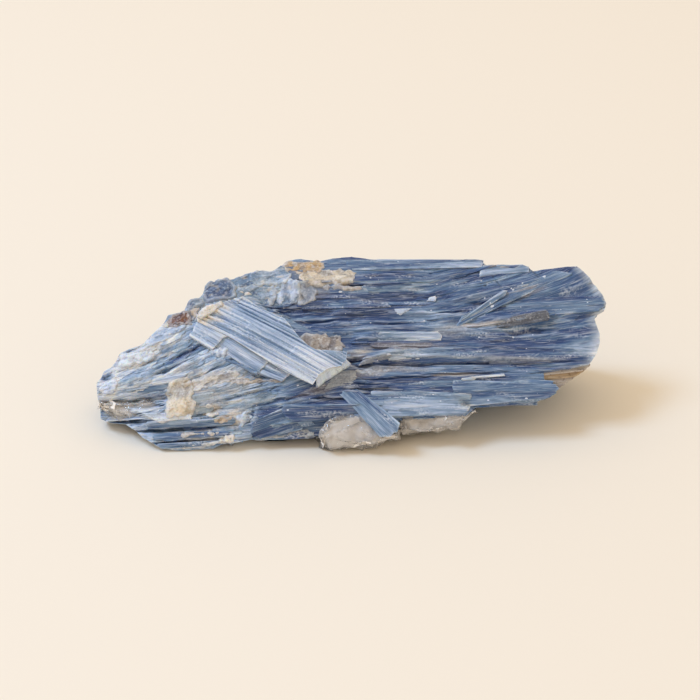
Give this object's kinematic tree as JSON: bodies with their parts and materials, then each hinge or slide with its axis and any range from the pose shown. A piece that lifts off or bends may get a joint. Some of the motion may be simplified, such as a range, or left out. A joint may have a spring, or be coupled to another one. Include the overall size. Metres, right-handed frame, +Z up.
{
  "type": "kyanite mineral specimen",
  "caption": "Hand-sized kyanite specimen: flat blue striated blades grown together in a long wedge, with small grains of clear quartz and brown mica seated between them.",
  "frame": {"origin": "middle of the specimen's extents in X and Y, on the flat face that it rests on", "axes": "+X along the blades, +Z up; the broad striated front face looks to -Y and up"},
  "size_m": [0.103, 0.0388, 0.0283],
  "materials": {
    "kyanite": "vitreous to pearly cleavage faces with fine lengthwise striations, deep blue to nearly white",
    "quartz": "clear to milky broken quartz, glassy",
    "mica": "brown crumbly mica and iron-stained matrix, dull with small glints"
  },
  "bodies": {
    "root": {"kyanite_blades": "kyanite", "quartz_lump": "quartz", "quartz_ledge": "quartz", "quartz_seam": "quartz", "mica_patch": "mica"}
  },
  "joints": []
}
